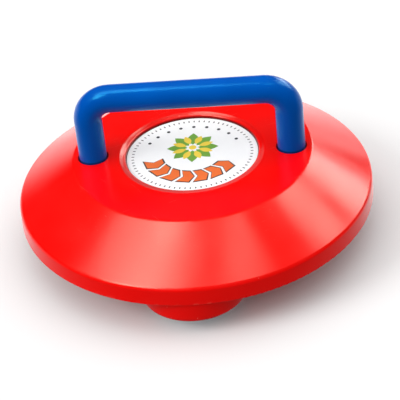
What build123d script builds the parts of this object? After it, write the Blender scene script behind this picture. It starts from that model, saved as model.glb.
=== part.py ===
from build123d import *
from math import asin, degrees, floor, pi, sin, sqrt
import os

# An indoor curling stone: a moulded plastic disc with a bar handle, which glides on three
# ball transfer units pressed into bosses on its underside.
# Frame: +Z up, +X along the handle, origin on the floor under the middle of the stone.
# The floor, z = 0, touches the lowest point of the three load balls.

os.makedirs("parts", exist_ok=True)

# ---------------------------------------------------------------------------
# Driving dimensions, in millimetres and degrees
# ---------------------------------------------------------------------------

# Body moulding
rim_radius = 130.5  # at the foot of the rim band
rim_lean = 0.5  # how much the band draws in towards its top
band_height = 13.2  # underside to where the cone meets the band
body_height = 40.0  # underside to the flat top face
top_radius = 87.3  # where the flat top face meets the cone
foot_edge = 0.8  # edge radii, from the foot of the rim to the top face
shoulder_edge = 3.5
top_edge = 3.5

# Round pocket in the underside
pocket_boss_gap = 1.2  # pocket to the bosses round it
pocket_taper = 4.2  # how much the pocket narrows towards its floor
pocket_depth = 12.5
pocket_mouth_edge = 0.7
pocket_floor_edge = 1.5

# Label, and the recess that it lies in
label_radius = 48.0
label_thickness = 0.3
label_margin = 0.4
recess_lip = 2.5  # rounding of the recess's upper edge
recess_wall = 0.5  # upright wall below the rounding

# Handle: one round bar bent twice
leg_inset = 14.8  # leg's axis to the edge of the flat top face
bar_radius = 10.2
grip_rise = 48.8  # top face to the bar's centreline
bend_radius = 17.0
leg_end_chamfer = 0.8
socket_depth = 12.0
socket_clearance = 0.15
socket_mouth_chamfer = 1.1

# Handle fastening: a screw up through a well in the underside into a threaded insert
screw_radius = 3.0
screw_length = 20.0
screw_head_radius = 5.0
screw_head_height = 6.0
screw_head_edge = 0.5
screw_tip_chamfer = 0.6
hex_key_across_flats = 5.0
hex_key_depth = 3.0
screw_hole_clearance = 0.3
thread_clearance = 0.05
washer_radius = 6.0
washer_thickness = 1.6
well_radius = 7.0
web_thickness = 6.0  # plastic between the well and the handle's socket
insert_radius = 4.5
insert_length = 15.0
insert_groove_width = 2.0
insert_groove_depth = 0.5

# Bosses that carry the ball units, named in order round the stone, from the one at -Y
unit_names = ("front", "right", "left")
boss_margin = 5.0  # boss round the flange plate
boss_rim_gap = 1.3  # boss to the foot of the rim band
boss_height = 16.3
boss_edge = 3.5
boss_root = 1.0  # how far a boss runs up inside the body

# Ball transfer unit
ball_radius = 15.08
ball_running_clearance = 0.04  # load ball to small balls, and small balls to race
small_ball_radius = 2.38
small_ball_rows = 1  # rows round the one at the crown
small_ball_gap = 0.3  # between one row and the next
race_wall = 1.4
housing_wall = 1.4
housing_corner = 12.0
housing_rim_width = 2.2
fit_clearance = 0.1  # race in housing and on seal, seal in housing, housing rim in crimp
bore_clearance = 0.05  # housing in the boss
bore_end_clearance = 0.3

# Flange plate with its collar round the ball
flange_radius = 33.0
flange_thickness = 2.0
flange_edge = 0.7
collar_height = 1.8
collar_width = 2.6
collar_foot = 0.9
collar_crown = 0.8
lip_overlap = 1.35  # how far the lip reaches in over the ball's widest circle
lip_gap = 0.35
lip_land = 0.6  # height of the lip's tip above the collar's face
crimp_wall = 1.2
crimp_bead = 0.9
crimp_reach = 1.2  # how far the bead turns in over the housing's rim

# Wiper seal round the ball
seal_gap = 0.15
seal_thickness = 2.4

# ---------------------------------------------------------------------------
# Heights and radii that follow from them
# ---------------------------------------------------------------------------

boss_radius = flange_radius + boss_margin
unit_pitch_radius = rim_radius - boss_rim_gap - boss_radius
pocket_radius = unit_pitch_radius - boss_radius - pocket_boss_gap
pocket_floor_radius = pocket_radius - pocket_taper

lip_radius = ball_radius - lip_overlap
bore_sphere_radius = ball_radius + lip_gap  # the collar's bore follows the ball
ball_z = ball_radius
lip_z = ball_z - sqrt(bore_sphere_radius**2 - lip_radius**2)
collar_face_z = lip_z - lip_land
flange_face_z = collar_face_z + collar_height
boss_face_z = flange_face_z + flange_thickness
underside_z = boss_face_z + boss_height
top_z = underside_z + body_height
recess_floor_z = top_z - recess_lip - recess_wall
recess_radius = label_radius + label_margin

small_ball_track = ball_radius + ball_running_clearance + small_ball_radius
race_inner_radius = small_ball_track + small_ball_radius + ball_running_clearance
race_outer_radius = race_inner_radius + race_wall
race_foot_z = boss_face_z + seal_thickness + fit_clearance
housing_inner_radius = race_outer_radius + fit_clearance
housing_radius = housing_inner_radius + housing_wall
housing_rim_radius = housing_radius + housing_rim_width
housing_ceiling_z = ball_z + race_outer_radius
housing_top_z = housing_ceiling_z + housing_wall

crimp_inner_radius = housing_rim_radius + fit_clearance
crimp_outer_radius = crimp_inner_radius + crimp_wall
crimp_seat_z = boss_face_z + housing_wall + fit_clearance
crimp_top_z = crimp_seat_z + crimp_bead
bore_radius = housing_radius + bore_clearance
bore_depth = housing_top_z + bore_end_clearance - boss_face_z
crimp_bore_radius = crimp_outer_radius + bore_end_clearance
crimp_bore_depth = crimp_top_z + bore_end_clearance - boss_face_z

half_spacing = top_radius - leg_inset
leg_places = [(-half_spacing, 0), (half_spacing, 0)]
bar_z = top_z + grip_rise
leg_end_z = top_z - socket_depth
socket_radius = bar_radius + socket_clearance
well_end_z = leg_end_z - web_thickness
well_depth = well_end_z - boss_face_z
screw_hole_depth = top_z - socket_depth / 2 - boss_face_z
screw_seat_z = well_end_z - washer_thickness
screw_hole_radius = screw_radius + screw_hole_clearance
insert_bore_radius = screw_radius + thread_clearance


def corner(sketch, across, up):
    """The corner of a half section that lies nearest to a point."""
    return sketch.vertices().sort_by_distance((across, up, 0))[0]


def unit_plane(name):
    """Upright plane through a ball unit's axis: x points away from the stone's axis, y up."""
    turn = 360 * unit_names.index(name) / len(unit_names)
    outward = Vector(0, -1, 0).rotate(Axis.Z, turn)
    return Plane(origin=outward * unit_pitch_radius, x_dir=outward, z_dir=outward.cross(Vector(0, 0, 1)))


def facing_down(x, y, z):
    """Workplane that looks at the floor, for holes made from below."""
    return Plane(origin=(x, y, z), x_dir=(1, 0, 0), z_dir=(0, 0, -1))


def on_sphere(radius, z):
    """Point of a half section where a sphere about the load ball's centre has this height."""
    return (sqrt(radius**2 - (z - ball_z) ** 2), z)


def small_ball_places():
    """Directions of the small balls over the load ball's crown, as (polar, turn) in degrees."""
    step = 2 * asin((small_ball_radius + small_ball_gap / 2) / small_ball_track)
    places = [(0.0, 0.0)]
    for row in range(1, small_ball_rows + 1):
        polar = row * step
        count = floor(pi / asin(small_ball_radius / (small_ball_track * sin(polar))))
        places += [(degrees(polar), 360 * i / count) for i in range(count)]
    return places


unit_centres = [unit_plane(name).origin for name in unit_names]

# ---------------------------------------------------------------------------
# Body: the half section is turned, then the bosses are added and the holes cut
# ---------------------------------------------------------------------------

with BuildPart() as body:
    with BuildSketch(Plane.XZ) as section:
        with BuildLine():
            Polyline(
                (0, underside_z + pocket_depth),
                (pocket_floor_radius, underside_z + pocket_depth),
                (pocket_radius, underside_z),
                (rim_radius, underside_z),
                (rim_radius - rim_lean, underside_z + band_height),
                (top_radius, top_z),
                (recess_radius, top_z),
                (recess_radius, recess_floor_z),
                (0, recess_floor_z),
                close=True,
            )
        make_face()
        fillet(corner(section, pocket_floor_radius, underside_z + pocket_depth), pocket_floor_edge)
        fillet(corner(section, pocket_radius, underside_z), pocket_mouth_edge)
        fillet(corner(section, rim_radius, underside_z), foot_edge)
        fillet(corner(section, rim_radius - rim_lean, underside_z + band_height), shoulder_edge)
        fillet(corner(section, top_radius, top_z), top_edge)
        fillet(corner(section, recess_radius, top_z), recess_lip)
    revolve(axis=Axis.Z)

    with BuildSketch(Plane.XY.offset(boss_face_z)):
        with Locations(*unit_centres):
            Circle(boss_radius)
    extrude(amount=boss_height + boss_root)
    fillet(body.edges().filter_by(GeomType.CIRCLE).group_by(Axis.Z)[0], boss_edge)

    with Locations(*[facing_down(centre.X, centre.Y, boss_face_z) for centre in unit_centres]):
        CounterBoreHole(bore_radius, crimp_bore_radius, crimp_bore_depth, bore_depth)

    with Locations(*[(x, y, top_z) for x, y in leg_places]):
        Hole(socket_radius, depth=socket_depth)
    with Locations(*[facing_down(x, y, boss_face_z) for x, y in leg_places]):
        CounterBoreHole(screw_hole_radius, well_radius, well_depth, screw_hole_depth)
    socket_mouths = body.edges().filter_by(GeomType.CIRCLE).group_by(Axis.Z)[-1]
    chamfer(socket_mouths.group_by(SortBy.RADIUS)[0], socket_mouth_chamfer)

body.part.label = "body"
export_step(body.part, "parts/body.step")

# ---------------------------------------------------------------------------
# Label: a thin disc on the floor of the recess
# ---------------------------------------------------------------------------

with BuildPart() as label:
    with BuildSketch(Plane.XY.offset(recess_floor_z)):
        Circle(label_radius)
    extrude(amount=label_thickness)

label.part.label = "label"
export_step(label.part, "parts/label.step")

# ---------------------------------------------------------------------------
# Handle, with a blind hole for the insert in the end of each leg
# ---------------------------------------------------------------------------

with BuildPart() as handle:
    with BuildLine(Plane.XZ):
        FilletPolyline(
            (-half_spacing, leg_end_z),
            (-half_spacing, bar_z),
            (half_spacing, bar_z),
            (half_spacing, leg_end_z),
            radius=bend_radius,
        )
    with BuildSketch(Plane.XY.offset(leg_end_z)):
        with Locations((-half_spacing, 0)):
            Circle(bar_radius)
    sweep()
    chamfer(handle.edges().filter_by(GeomType.CIRCLE).group_by(Axis.Z)[0], leg_end_chamfer)
    with Locations(*[facing_down(x, y, leg_end_z) for x, y in leg_places]):
        Hole(insert_radius, depth=insert_length)

handle.part.label = "handle"
export_step(handle.part, "parts/handle.step")

# ---------------------------------------------------------------------------
# Fastening under each leg: insert, washer and screw
# ---------------------------------------------------------------------------

with BuildPart() as handle_inserts:
    with BuildSketch(Plane.XY.offset(leg_end_z)):
        with Locations(*leg_places):
            Circle(insert_radius)
            Circle(insert_bore_radius, mode=Mode.SUBTRACT)
    extrude(amount=insert_length)
    with BuildSketch(Plane.XY.offset(leg_end_z + (insert_length - insert_groove_width) / 2)):
        with Locations(*leg_places):
            Circle(insert_radius)
            Circle(insert_radius - insert_groove_depth, mode=Mode.SUBTRACT)
    extrude(amount=insert_groove_width, mode=Mode.SUBTRACT)

handle_inserts.part.label = "handle_inserts"
export_step(handle_inserts.part, "parts/handle_inserts.step")

with BuildPart() as handle_washers:
    with BuildSketch(Plane.XY.offset(screw_seat_z)):
        with Locations(*leg_places):
            Circle(washer_radius)
            Circle(screw_hole_radius, mode=Mode.SUBTRACT)
    extrude(amount=washer_thickness)

handle_washers.part.label = "handle_washers"
export_step(handle_washers.part, "parts/handle_washers.step")

with BuildPart() as handle_screws:
    with BuildSketch(Plane.XY.offset(screw_seat_z)):
        with Locations(*leg_places):
            Circle(screw_radius)
    extrude(amount=screw_length)
    chamfer(handle_screws.edges().group_by(Axis.Z)[-1], screw_tip_chamfer)
    with BuildSketch(Plane.XY.offset(screw_seat_z - screw_head_height)):
        with Locations(*leg_places):
            Circle(screw_head_radius)
    extrude(amount=screw_head_height)
    fillet(handle_screws.edges().group_by(Axis.Z)[0], screw_head_edge)
    with BuildSketch(Plane.XY.offset(screw_seat_z - screw_head_height)):
        with Locations(*leg_places):
            RegularPolygon(hex_key_across_flats / 2, 6, major_radius=False)
    extrude(amount=hex_key_depth, mode=Mode.SUBTRACT)

handle_screws.part.label = "handle_screws"
export_step(handle_screws.part, "parts/handle_screws.step")

# ---------------------------------------------------------------------------
# Ball transfer units: six pieces each, turned about the unit's own upright axis
# ---------------------------------------------------------------------------

for name in unit_names:
    plane = unit_plane(name)
    unit_axis = Axis(plane.origin, (0, 0, 1))

    # Flange plate: flat washer, raised collar that holds the ball in, and a skirt crimped
    # over the housing's rim.
    with BuildPart() as flange:
        with BuildSketch(plane) as section:
            with BuildLine():
                Polyline(
                    (lip_radius, lip_z),
                    (lip_radius, collar_face_z),
                    (lip_radius + collar_width, collar_face_z),
                    (lip_radius + collar_width, flange_face_z),
                    (flange_radius, flange_face_z),
                    (flange_radius, boss_face_z),
                    (crimp_outer_radius, boss_face_z),
                    (crimp_outer_radius, crimp_top_z),
                    (crimp_inner_radius - crimp_reach, crimp_top_z),
                    (crimp_inner_radius - crimp_reach, crimp_seat_z),
                    (crimp_inner_radius, crimp_seat_z),
                    (crimp_inner_radius, boss_face_z),
                    on_sphere(bore_sphere_radius, boss_face_z),
                )
                ThreePointArc(
                    on_sphere(bore_sphere_radius, boss_face_z),
                    on_sphere(bore_sphere_radius, (boss_face_z + lip_z) / 2),
                    (lip_radius, lip_z),
                )
            make_face()
            fillet(corner(section, lip_radius + collar_width, collar_face_z), collar_crown)
            fillet(corner(section, lip_radius + collar_width, flange_face_z), collar_foot)
            fillet(corner(section, flange_radius, flange_face_z), flange_edge)
        revolve(axis=unit_axis)
    flange.part.label = f"flange_{name}"
    export_step(flange.part, f"parts/flange_{name}.step")

    # Housing: a deep-drawn cup, closed above, with a rim that stands on the flange plate.
    with BuildPart() as housing:
        with BuildSketch(plane) as section:
            with BuildLine():
                Polyline(
                    (0, housing_ceiling_z),
                    (housing_inner_radius, housing_ceiling_z),
                    (housing_inner_radius, boss_face_z),
                    (housing_rim_radius, boss_face_z),
                    (housing_rim_radius, boss_face_z + housing_wall),
                    (housing_radius, boss_face_z + housing_wall),
                    (housing_radius, housing_top_z),
                    (0, housing_top_z),
                    close=True,
                )
            make_face()
            inner_corner = corner(section, housing_inner_radius, housing_ceiling_z)
            fillet(inner_corner, housing_corner - housing_wall)
            fillet(corner(section, housing_radius, housing_top_z), housing_corner)
        revolve(axis=unit_axis)
    housing.part.label = f"housing_{name}"
    export_step(housing.part, f"parts/housing_{name}.step")

    # Race: a hardened hemisphere with a short straight rim.
    with BuildPart() as race:
        with BuildSketch(plane):
            with BuildLine():
                Line((0, ball_z + race_outer_radius), (0, ball_z + race_inner_radius))
                CenterArc((0, ball_z), race_inner_radius, 0, 90)
                Line((race_inner_radius, ball_z), (race_inner_radius, race_foot_z))
                Line((race_inner_radius, race_foot_z), (race_outer_radius, race_foot_z))
                Line((race_outer_radius, race_foot_z), (race_outer_radius, ball_z))
                CenterArc((0, ball_z), race_outer_radius, 0, 90)
            make_face()
        revolve(axis=unit_axis)
    race.part.label = f"race_{name}"
    export_step(race.part, f"parts/race_{name}.step")

    # Wiper seal: a ring on the flange plate, round the ball's widest part.
    with BuildPart() as seal:
        with BuildSketch(Plane.XY.offset(boss_face_z)):
            with Locations((plane.origin.X, plane.origin.Y)):
                Circle(housing_inner_radius - fit_clearance)
                Circle(ball_radius + seal_gap, mode=Mode.SUBTRACT)
        extrude(amount=seal_thickness)
    seal.part.label = f"seal_{name}"
    export_step(seal.part, f"parts/seal_{name}.step")

    # Small balls over the crown of the load ball, in rows.
    crown = Vector(0, 0, small_ball_track)
    centre = plane.origin + Vector(0, 0, ball_z)
    with BuildPart() as bearing_balls:
        for polar, turn in small_ball_places():
            with Locations(centre + crown.rotate(Axis.Y, polar).rotate(Axis.Z, turn)):
                Sphere(small_ball_radius)
    bearing_balls.part.label = f"bearing_balls_{name}"
    export_step(bearing_balls.part, f"parts/bearing_balls_{name}.step")

    # Load ball, which the stone stands and rolls on.
    with BuildPart() as load_ball:
        with Locations(centre):
            Sphere(ball_radius)
    load_ball.part.label = f"load_ball_{name}"
    export_step(load_ball.part, f"parts/load_ball_{name}.step")
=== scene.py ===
from math import cos, pi, radians, sin

import bmesh
import bpy
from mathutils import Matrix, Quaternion, Vector


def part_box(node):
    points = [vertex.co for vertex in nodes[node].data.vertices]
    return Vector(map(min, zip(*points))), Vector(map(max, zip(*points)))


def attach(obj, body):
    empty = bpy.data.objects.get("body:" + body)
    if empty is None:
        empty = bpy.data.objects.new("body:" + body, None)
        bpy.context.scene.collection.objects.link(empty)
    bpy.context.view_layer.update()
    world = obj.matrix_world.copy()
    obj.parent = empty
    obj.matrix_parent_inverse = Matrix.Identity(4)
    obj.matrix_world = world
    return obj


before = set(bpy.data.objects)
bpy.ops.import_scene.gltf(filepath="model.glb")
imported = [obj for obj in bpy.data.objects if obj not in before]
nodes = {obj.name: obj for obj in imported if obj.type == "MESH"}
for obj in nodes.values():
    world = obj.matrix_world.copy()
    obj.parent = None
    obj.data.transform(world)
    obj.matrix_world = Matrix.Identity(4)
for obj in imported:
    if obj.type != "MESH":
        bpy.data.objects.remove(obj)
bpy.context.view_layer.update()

# An indoor curling stone on a white studio floor: red moulded body, blue bar handle, white
# printed label, and three ball transfer units underneath. Metres, in the part's own frame:
# +Z up, +X along the handle, the floor at z = 0.

units = ("front", "right", "left")

# ---------------------------------------------------------------------------
# Sizes taken from the frame, and the height of the bosses, which no box gives
# ---------------------------------------------------------------------------

body_low, body_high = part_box("body")
label_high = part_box("label")[1]
handle_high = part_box("handle")[1]

rim_radius = body_high.x
top_z = body_high.z
boss_height = 0.0163
underside_z = body_low.z + boss_height
label_radius = label_high.x
label_z = label_high.z
leg_radius = handle_high.y
leg_x = handle_high.x - leg_radius

# ---------------------------------------------------------------------------
# Material kit
# ---------------------------------------------------------------------------


def srgb(red, green, blue):
    """Linear colour of an sRGB colour given in 0..255."""

    def linear(value):
        value /= 255
        return value / 12.92 if value <= 0.04045 else ((value + 0.055) / 1.055) ** 2.4

    return (linear(red), linear(green), linear(blue), 1.0)


class Tree:
    """A node tree. Most methods add a node and return its output."""

    def __init__(self, tree):
        self.tree = tree

    def feed(self, socket, value):
        """Links an output to a socket, or sets the socket to a plain value."""
        if isinstance(value, bpy.types.NodeSocket):
            self.tree.links.new(value, socket)
        else:
            socket.default_value = value

    def add(self, kind, settings=None, **inputs):
        """A node with its settings and its inputs, where _ stands for a space in a name."""
        node = self.tree.nodes.new(kind)
        for name, value in (settings or {}).items():
            setattr(node, name, value)
        for name, value in inputs.items():
            self.feed(node.inputs[name.replace("_", " ")], value)
        return node

    def math(self, operation, first, second=0.0):
        """Result of an operation on one or two values."""
        node = self.add("ShaderNodeMath", {"operation": operation})
        self.feed(node.inputs[0], first)
        self.feed(node.inputs[1], second)
        return node.outputs[0]

    def times(self, first, second):
        """Product of two values, or the mask where both masks hold."""
        return self.math("MULTIPLY", first, second)

    def span(self, value, low, high, to_low=0.0, to_high=1.0):
        """Maps low..high to to_low..to_high, smoothly, and stops at both ends."""
        node = self.add("ShaderNodeMapRange", {"interpolation_type": "SMOOTHSTEP"}, Value=value,
                        From_Min=low, From_Max=high, To_Min=to_low, To_Max=to_high)
        return node.outputs["Result"]

    def blend(self, share, first, second, kind="RGBA"):
        """Colour between first and second, or a number between them where kind is FLOAT."""
        node = self.add("ShaderNodeMix", {"data_type": kind}, Factor=share)
        ends = [socket for socket in node.inputs if socket.enabled and socket.name in ("A", "B")]
        for socket, value in zip(ends, (first, second)):
            self.feed(socket, value)
        return next(socket for socket in node.outputs if socket.enabled)


class Finish(Tree):
    """A material round a Principled shader."""

    def __init__(self, name, **sockets):
        self.material = bpy.data.materials.new(name)
        self.material.use_nodes = True
        super().__init__(self.material.node_tree)
        self.shader = self.tree.nodes["Principled BSDF"]
        self.give(**sockets)
        self.place = self.add("ShaderNodeTexCoord").outputs["Object"]

    def give(self, **sockets):
        """Feeds the shader's sockets."""
        for name, value in sockets.items():
            self.feed(self.shader.inputs[name.replace("_", " ")], value)

    def noise(self, size, seed, detail=2.0, place=None):
        """Noise from 0 to 1 with lumps about size metres across."""
        node = self.add("ShaderNodeTexNoise", {"noise_dimensions": "4D"}, Vector=place or self.place,
                        W=seed, Scale=1 / size, Detail=detail)
        return node.outputs["Fac"]

    def patches(self, size, seed, detail=2.0, low=0.3, high=0.7, to_low=0.0, to_high=1.0):
        """Soft patches: noise below low gives to_low, and noise above high gives to_high."""
        return self.span(self.noise(size, seed, detail), low, high, to_low, to_high)

    def drawn_out(self, factor, turn):
        """The place turned about Z by an angle, and drawn out along X by a factor."""
        node = self.add("ShaderNodeMapping", {"vector_type": "TEXTURE"}, Vector=self.place,
                        Rotation=(0.0, 0.0, turn), Scale=(factor, 1.0, 1.0))
        return node.outputs["Vector"]

    def scratches(self, seed, turn, width=0.0004, length=0.03, share=0.02):
        """Mask of fine straight scratches that run along one direction, on parts of the surface."""
        fine = self.noise(width, seed, detail=1.0, place=self.drawn_out(length / width, turn))
        where = self.patches(size=0.03, seed=seed + 5, low=0.5)
        peak_low, peak_high = 0.72 - share, 0.74
        return self.times(self.span(fine, peak_low, peak_high), where)

    def along(self, axis):
        """The place's coordinate X, Y or Z."""
        return self.add("ShaderNodeSeparateXYZ", Vector=self.place).outputs[axis]

    def from_axis(self, x=0.0, y=0.0):
        """Distance from the upright axis through x, y."""
        off_x = self.math("SUBTRACT", self.along("X"), x)
        off_y = self.math("SUBTRACT", self.along("Y"), y)
        return self.math("SQRT", self.math("ADD", self.times(off_x, off_x), self.times(off_y, off_y)))

    def fade(self, value, edge, reach):
        """Mask that is 0 at the first distance from an edge and 1 at the second."""
        none, full = reach
        return self.span(value, edge + none, edge + full)

    def relief(self, height, depth, under=None):
        """Normal of a relief that is depth metres deep, laid over the normal under it."""
        node = self.add("ShaderNodeBump", Height=height, Distance=depth)
        if under:
            self.feed(node.inputs["Normal"], under)
        return node.outputs["Normal"]

    def mix_shaders(self, share, first, second):
        """Shader between first and second."""
        node = self.add("ShaderNodeMixShader", Fac=share)
        self.feed(node.inputs[1], first)
        self.feed(node.inputs[2], second)
        return node.outputs["Shader"]


def dress(finish, *names):
    """Gives CAD nodes a finish."""
    for name in names:
        nodes[name].data.materials.clear()
        nodes[name].data.materials.append(finish.material)


def in_units(*parts):
    """Names of these parts' nodes in all three ball units."""
    return [f"{part}_{unit}" for part in parts for unit in units]


# ---------------------------------------------------------------------------
# Plastic
# ---------------------------------------------------------------------------

scratch_roughness = 0.2
scratch_paleness = 0.35
skin_size, skin_depth = 0.0011, 0.000008
wave_size, wave_depth = 0.016, 0.00005


def moulded(name, deep, bright, worn, roughness):
    """Solid-coloured moulded plastic: cloudy colour, an even satin skin, and fine scratches."""
    plastic = Finish(name, IOR=1.5, Specular_IOR_Level=0.25)
    colour = plastic.blend(plastic.patches(size=0.05, seed=1.0), deep, bright)
    scratched = plastic.math("MAXIMUM", plastic.scratches(seed=11.0, turn=0.5),
                             plastic.scratches(seed=23.0, turn=-0.9))
    waves = plastic.relief(plastic.noise(wave_size, seed=5.0), wave_depth)
    plastic.surface = plastic.relief(plastic.noise(skin_size, seed=3.0), skin_depth, under=waves)
    patches = plastic.patches(size=0.03, seed=7.0, to_low=roughness - 0.03, to_high=roughness + 0.04)
    plastic.give(Roughness=plastic.math("ADD", patches, plastic.times(scratched, scratch_roughness)),
                 Normal=plastic.surface)
    return plastic, plastic.blend(plastic.times(scratched, scratch_paleness), colour, worn)


# Body: red, with pale scuffs round the foot of its rim and tiny cast specks on the underside.
# Each reach is a pair of distances from an edge: where a mask starts, and where it is full.
scuff_reach_up = (0.003, 0.0002)
scuff_reach_down = (-0.0003, -0.0001)
scuff_reach_inwards = (-0.004, -0.001)
scuff_paleness = 0.35
speck_reach_up = (0.0135, 0.0127)
speck_reach_inwards = (-0.0009, -0.0013)

red_worn = srgb(255, 96, 84)
body_red, red = moulded("body_plastic", srgb(246, 1, 0), srgb(253, 3, 1), red_worn, roughness=0.21)
across = body_red.from_axis()
height = body_red.along("Z")

near_foot = body_red.times(body_red.fade(height, underside_z, scuff_reach_up),
                           body_red.fade(height, underside_z, scuff_reach_down))
at_rim = body_red.fade(across, rim_radius, scuff_reach_inwards)
broken = body_red.patches(size=0.006, seed=31.0, detail=5.0, low=0.5, high=0.66)
scuffed = body_red.times(body_red.times(near_foot, at_rim), broken)
red = body_red.blend(body_red.times(scuffed, scuff_paleness), red, red_worn)

below = body_red.times(body_red.fade(height, underside_z, speck_reach_up),
                       body_red.fade(across, rim_radius, speck_reach_inwards))
specks = body_red.patches(size=0.0022, seed=41.0, detail=1.0, low=0.76, high=0.8)
red = body_red.blend(body_red.times(specks, below), red, srgb(255, 150, 140))

# Round the label the edge of the recess slopes on outwards, as sunk relief. A dark line of painted shade
# follows the foot of its wall and the mouths of the handle's sockets, where shade falls.
top_reach = (-0.004, -0.0035)
slope_reach = (0.0060, 0.0018)
slope_depth = -0.0021
wall_reach_out = (0.0024, 0.0004)
wall_reach_down = (-0.0004, -0.0020)
socket_reach = (0.0013, 0.0006)
painted_shade_strength = 0.85

on_top = body_red.fade(height, top_z, top_reach)
slope = body_red.times(body_red.fade(across, label_radius, slope_reach), on_top)
body_red.give(Normal=body_red.relief(slope, slope_depth, under=body_red.surface))
# Painted shade: the recess corner and the socket mouths are painted dark red, where shade falls.
shaded_corner = body_red.times(body_red.fade(across, label_radius, wall_reach_out),
                           body_red.fade(height, top_z, wall_reach_down))
shaded_sockets = [body_red.fade(body_red.from_axis(x), leg_radius, socket_reach) for x in (-leg_x, leg_x)]
painted_shade_line = body_red.math("MAXIMUM", shaded_corner, body_red.math("MAXIMUM", *shaded_sockets))
painted_shade_line = body_red.times(body_red.times(painted_shade_line, on_top), painted_shade_strength)
body_red.give(Base_Color=body_red.blend(painted_shade_line, red, srgb(58, 6, 8)), Specular_Tint=(1.0, 1.0, 0.8, 1.0))
dress(body_red, "body")

# Handle: blue, with painted shade at the foot of its legs, where they meet the body.
foot_shade_reach_up = (0.0016, 0.0002)
foot_shade_strength = 0.7

handle_blue, blue = moulded("handle_plastic", srgb(0, 78, 172), srgb(0, 86, 184), srgb(90, 160, 225),
                            roughness=0.2)
# Painted shade: the legs are painted darker just above the body's top face.
leg_foot_shade = handle_blue.fade(handle_blue.along("Z"), top_z, foot_shade_reach_up)
blue = handle_blue.blend(handle_blue.times(leg_foot_shade, foot_shade_strength), blue, srgb(4, 22, 54))
handle_blue.give(Base_Color=blue, Specular_Tint=(0.05, 0.8, 1.0, 1.0), Specular_IOR_Level=0.22)
dress(handle_blue, "handle")

# ---------------------------------------------------------------------------
# Metal, felt and vinyl
# ---------------------------------------------------------------------------

metal_mark = {"width": 0.0003, "length": 0.012, "share": 0.04}
mark_roughness = 0.15


def metallic(name, colour, tint, roughness, seed):
    """Metal with a cloudy colour, a fine grain and handling marks."""
    metal = Finish(name, Metallic=1.0)
    clouds = metal.patches(size=0.02, seed=seed, detail=3.0, high=0.75)
    marks = metal.math("MAXIMUM", metal.scratches(seed + 3, turn=0.2, **metal_mark),
                       metal.scratches(seed + 9, turn=1.7, **metal_mark))
    rough = metal.patches(size=0.009, seed=seed + 1, detail=4.0,
                          to_low=roughness - 0.03, to_high=roughness + 0.05)
    metal.give(Base_Color=metal.blend(clouds, colour, tint),
               Roughness=metal.math("ADD", rough, metal.times(marks, mark_roughness)),
               Normal=metal.relief(metal.noise(size=0.0006, seed=seed + 2), depth=0.000006))
    return metal


zinc = metallic("zinc_steel", srgb(216, 222, 226), srgb(207, 213, 217), roughness=0.32, seed=51.0)
hardened = metallic("hardened_steel", srgb(178, 176, 172), srgb(160, 158, 156), roughness=0.22, seed=61.0)
polished = metallic("ball_steel", srgb(205, 202, 198), srgb(196, 192, 188), roughness=0.1, seed=71.0)
blackened = metallic("screw_steel", srgb(60, 60, 62), srgb(46, 46, 48), roughness=0.4, seed=81.0)
brass = metallic("insert_brass", srgb(214, 180, 104), srgb(196, 160, 90), roughness=0.3, seed=91.0)
dress(zinc, "handle_washers", *in_units("flange", "housing"))
dress(hardened, *in_units("race"))
dress(polished, *in_units("load_ball", "bearing_balls"))
dress(blackened, "handle_screws")
dress(brass, "handle_inserts")

felt = Finish("seal_felt", Roughness=0.95)
fibres = felt.noise(size=0.0007, seed=101.0, detail=4.0)
felt.give(Base_Color=felt.blend(fibres, srgb(24, 24, 25), srgb(62, 60, 58)),
          Normal=felt.relief(fibres, depth=0.0002))
dress(felt, *in_units("seal"))


def printed(name, colour, shade):
    """Vinyl or ink on vinyl: nearly even, with a faint orange-peel skin."""
    vinyl = Finish(name, IOR=1.46)
    clouds = vinyl.patches(size=0.02, seed=111.0, detail=4.0)
    rough = vinyl.patches(size=0.008, seed=113.0, detail=3.0, to_low=0.38, to_high=0.5)
    vinyl.give(Base_Color=vinyl.blend(clouds, colour, shade), Roughness=rough,
               Normal=vinyl.relief(vinyl.noise(size=0.0009, seed=115.0), depth=0.000008))
    return vinyl


dress(printed("label_vinyl", srgb(253, 253, 252), srgb(249, 249, 248)), "label")

# ---------------------------------------------------------------------------
# Print on the label: a generic badge of ticks, chevrons, dots and a petal rosette. Turns, and a
# chevron's length and point, are in degrees.
# ---------------------------------------------------------------------------

ink_height = 0.00005
ink_sink = 0.00002


def on_ring(radius, angle, centre=(0.0, 0.0)):
    """Point on a circle, at an angle in degrees counter-clockwise from +X."""
    return (centre[0] + radius * cos(radians(angle)), centre[1] + radius * sin(radians(angle)))


def tick(inner, outer, start, end):
    """Outline of a short mark that crosses a ring between two angles."""
    return [on_ring(outer, start), on_ring(outer, end), on_ring(inner, end), on_ring(inner, start)]


def disc(radius, centre, corners):
    """Outline of a filled circle."""
    return [on_ring(radius, 360 * i / corners, centre) for i in range(corners)]


def chevron(radius, angle, half_width, length, point):
    """Outline of an arrow-shaped band that crosses a ring."""
    front = [(radius + half_width, angle), (radius, angle + point), (radius - half_width, angle)]
    back = [(r, a - length) for r, a in reversed(front)]
    return [on_ring(r, a) for r, a in front + back]


def petal(centre, angle, start, length, width, corners=10):
    """Outline of a pointed leaf that lies along a radius from centre."""
    steps = [i / corners for i in range(corners + 1)]
    side = [(start + length * t, width / 2 * sin(pi * t)) for t in steps]
    edge = side + [(along, -off) for along, off in reversed(side[1:-1])]
    c, s = cos(radians(angle)), sin(radians(angle))
    return [(centre[0] + along * c - off * s, centre[1] + along * s + off * c) for along, off in edge]


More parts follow.
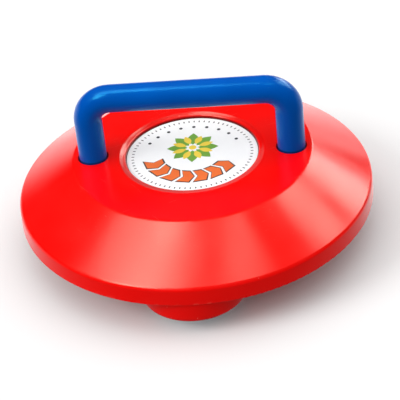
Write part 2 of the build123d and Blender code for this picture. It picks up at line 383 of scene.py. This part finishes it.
def print_shapes(name, outlines, ink, layer=0):
    """A thin solid of ink for each outline, together as one piece that rides on the stone."""
    low, high = label_z - ink_sink, label_z + ink_height * (1 + layer)
    mesh = bmesh.new()
    for outline in outlines:
        floor = [mesh.verts.new((x, y, low)) for x, y in outline]
        roof = [mesh.verts.new((x, y, high)) for x, y in outline]
        mesh.faces.new(floor)
        mesh.faces.new(roof)
        for i in range(len(outline)):
            mesh.faces.new((floor[i - 1], floor[i], roof[i], roof[i - 1]))
    bmesh.ops.recalc_face_normals(mesh, faces=mesh.faces)
    data = bpy.data.meshes.new(name)
    mesh.to_mesh(data)
    mesh.free()
    data.materials.append(ink.material)
    piece = bpy.data.objects.new(name, data)
    bpy.context.scene.collection.objects.link(piece)
    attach(piece, "stone")


ink_dark = printed("ink_dark", srgb(44, 44, 48), srgb(58, 58, 62))
ink_orange = printed("ink_orange", srgb(244, 116, 40), srgb(236, 104, 34))
ink_green = printed("ink_green", srgb(120, 176, 58), srgb(108, 164, 52))
ink_yellow = printed("ink_yellow", srgb(246, 214, 66), srgb(238, 204, 58))

tick_count = 72
tick_inner, tick_outer = 0.0427, 0.0446
tick_half_turn = 0.55
tick_turns = [360 * i / tick_count for i in range(tick_count)]
ticks = [tick(tick_inner, tick_outer, a - tick_half_turn, a + tick_half_turn) for a in tick_turns]
print_shapes("label_ticks", ticks, ink_dark)

arrow_count, arrow_start, arrow_step = 7, 206, 20.5
arrow_ring = 0.0292
edge_lead = 1.0
arrow_turns = [arrow_start + arrow_step * i for i in range(arrow_count)]
arrow_edges = [chevron(arrow_ring, a + edge_lead, half_width=0.0076, length=17.0, point=7.0)
               for a in arrow_turns]
arrows = [chevron(arrow_ring, a, half_width=0.0065, length=14.6, point=6.6) for a in arrow_turns]
print_shapes("label_chevron_edges", arrow_edges, ink_dark)
print_shapes("label_chevrons", arrows, ink_orange, layer=1)

dot_count, dot_start, dot_step = 9, 28, 15.5
dot_ring, dot_radius, dot_corners = 0.0362, 0.0013, 16
dot_turns = [dot_start + dot_step * i for i in range(dot_count)]
dots = [disc(dot_radius, on_ring(dot_ring, a), dot_corners) for a in dot_turns]
print_shapes("label_dots", dots, ink_dark)

rosette_centre = (0.0, 0.0085)
eye_radius, eye_corners = 0.0028, 28
petal_count = 8
half_step = 180 / petal_count
petal_turns = [360 * i / petal_count for i in range(petal_count)]
green_petals = [petal(rosette_centre, a, start=0.0038, length=0.0152, width=0.0082) for a in petal_turns]
yellow_petals = [petal(rosette_centre, a + half_step, start=0.0048, length=0.0112, width=0.0052)
                 for a in petal_turns]
eye = disc(eye_radius, rosette_centre, eye_corners)
print_shapes("label_petals_green", green_petals, ink_green)
print_shapes("label_petals_yellow", yellow_petals + [eye], ink_yellow, layer=1)

# ---------------------------------------------------------------------------
# Studio: white paper floor under a soft sky that is brightest overhead, and soft boxes that
# the gloss mirrors
# ---------------------------------------------------------------------------

floor_half = 6.0
floor_mesh = bpy.data.meshes.new("floor")
corners = [(-1, -1), (1, -1), (1, 1), (-1, 1)]
floor_mesh.from_pydata([(x * floor_half, y * floor_half, 0) for x, y in corners], [], [(0, 1, 2, 3)])
floor = bpy.data.objects.new("floor", floor_mesh)
bpy.context.scene.collection.objects.link(floor)

# Gloss sees the paper dim in front of the stone and bright behind it, unless something diffuse
# has scattered the ray before. Diffuse light sees it darker than the camera does, which keeps
# the body's lower sides dark. The camera doesn't see it from below.
front_light, horizon_light = 0.1, 1.55
sweep_start_y, sweep_end_y = -0.17, 0.10

paper = Finish("floor_paper", Roughness=0.9, Specular_IOR_Level=0.1)
paper_ray = paper.add("ShaderNodeLightPath").outputs
clouds = paper.noise(size=0.4, seed=121.0, detail=3.0)
white_paper = paper.blend(clouds, srgb(232, 232, 232), srgb(229, 229, 229))
paper.give(Base_Color=paper.blend(paper_ray["Is Diffuse Ray"], white_paper, srgb(140, 140, 140)))
unscattered = paper.math("SUBTRACT", paper_ray["Is Glossy Ray"], paper_ray["Diffuse Depth"])
in_gloss = paper.math("MAXIMUM", unscattered)
sweep = paper.span(paper.along("Y"), sweep_start_y, sweep_end_y, front_light, horizon_light)
mirrored_paper = paper.add("ShaderNodeEmission", Strength=sweep).outputs["Emission"]
from_below = paper.times(paper_ray["Is Camera Ray"], paper.add("ShaderNodeNewGeometry").outputs["Backfacing"])
no_paper = paper.add("ShaderNodeBsdfTransparent").outputs["BSDF"]
shown = paper.mix_shaders(in_gloss, paper.shader.outputs["BSDF"], mirrored_paper)
shown = paper.mix_shaders(from_below, shown, no_paper)
paper.feed(paper.tree.nodes["Material Output"].inputs["Surface"], shown)
floor_mesh.materials.append(paper.material)

# The camera sees a white sky. Diffuse light sees a dome that is brightest overhead, and gloss
# sees a band over the horizon, bright behind the stone and dim in front of it.
dome_light = 1.65
front_share = 0.06
band_low_z, band_high_z = -0.06, 0.19
band_front_y, band_back_y = -0.4, 0.3

world = bpy.data.worlds.new("studio")
bpy.context.scene.world = world
world.use_nodes = True
sky = Tree(world.node_tree)
compass = sky.add("ShaderNodeSeparateXYZ", Vector=sky.add("ShaderNodeTexCoord").outputs["Generated"]).outputs
dome = sky.times(dome_light, sky.math("MAXIMUM", compass["Z"]))
band = sky.span(compass["Z"], band_low_z, band_high_z, horizon_light, 0.0)
behind = sky.span(compass["Y"], band_front_y, band_back_y, front_share, 1.0)
sky_ray = sky.add("ShaderNodeLightPath").outputs
in_gloss = sky.math("SUBTRACT", sky_ray["Is Glossy Ray"], sky_ray["Diffuse Depth"])
lit = sky.blend(in_gloss, dome, sky.times(band, behind), kind="FLOAT")
seen = sky.math("MAXIMUM", sky_ray["Is Camera Ray"], sky_ray["Is Transmission Ray"])
backdrop = sky.tree.nodes["Background"].inputs
sky.feed(backdrop["Color"], (1.0, 1.0, 1.0, 1.0))
sky.feed(backdrop["Strength"], sky.blend(seen, lit, 1.0, kind="FLOAT"))


def lamp_object(light, place, aim=(0.0, 0.0, 0.05)):
    """Puts a light at place, turned towards aim and unseen by the camera."""
    lamp = bpy.data.objects.new(light.name, light)
    lamp.location = place
    lamp.rotation_mode = "QUATERNION"
    lamp.rotation_quaternion = (Vector(place) - Vector(aim)).to_track_quat("Z", "Y")
    lamp.visible_camera = False
    bpy.context.scene.collection.objects.link(lamp)
    return lamp


def softbox(name, place, size, radiance):
    """Rectangular lamp that looks this bright in gloss, and that diffuse light doesn't see."""
    light = bpy.data.lights.new(name, "AREA")
    light.shape = "RECTANGLE"
    light.size, light.size_y = size
    light.energy = radiance * pi * size[0] * size[1]
    lamp_object(light, place).visible_diffuse = False


softbox("softbox_left", (-0.518, -0.124, 1.436), size=(0.62, 0.97), radiance=8.2)
softbox("softbox_middle", (-0.385, -0.317, 1.645), size=(0.33, 0.64), radiance=10.2)
softbox("softbox_front", (0.392, -0.365, 1.479), size=(0.54, 0.19), radiance=8.0)
softbox("softbox_right", (0.869, 0.448, 1.051), size=(0.53, 0.37), radiance=10.9)
softbox("softbox_side", (1.004, 0.971, 0.717), size=(1.10, 0.40), radiance=12.0)
softbox("softbox_back", (0.60, 1.30, 0.35), size=(0.35, 0.45), radiance=1.8)
softbox("softbox_near", (-0.75, -0.63, 1.17), size=(0.55, 0.60), radiance=20.0)

# A soft sun for the surfaces, which gloss doesn't see.
key = bpy.data.lights.new("key_left", "SUN")
key.energy = 1.35
key.angle = radians(30)
lamp_object(key, (-1.45, -0.60, 1.05)).visible_glossy = False

# ---------------------------------------------------------------------------
# Camera: a little to the right of the middle, 35 degrees up, and slightly rolled
# ---------------------------------------------------------------------------

camera_azimuth, camera_elevation, camera_roll = radians(5.1), radians(34.9), radians(-6.1)
camera_distance = 1.287
camera_target = Vector((0.002, 0.0, 0.0235))

away = Vector((sin(camera_azimuth) * cos(camera_elevation),
               -cos(camera_azimuth) * cos(camera_elevation), sin(camera_elevation)))
lens = bpy.data.cameras.new("camera")
lens.sensor_width = 36.0
lens.lens = 156.0
lens.clip_start, lens.clip_end = 0.05, 50.0
camera = bpy.data.objects.new("camera", lens)
camera.location = camera_target + away * camera_distance
camera.rotation_mode = "QUATERNION"
camera.rotation_quaternion = away.to_track_quat("Z", "Y") @ Quaternion((0, 0, 1), camera_roll)
bpy.context.scene.collection.objects.link(camera)
bpy.context.scene.camera = camera
bpy.context.scene.view_settings.view_transform = "Standard"
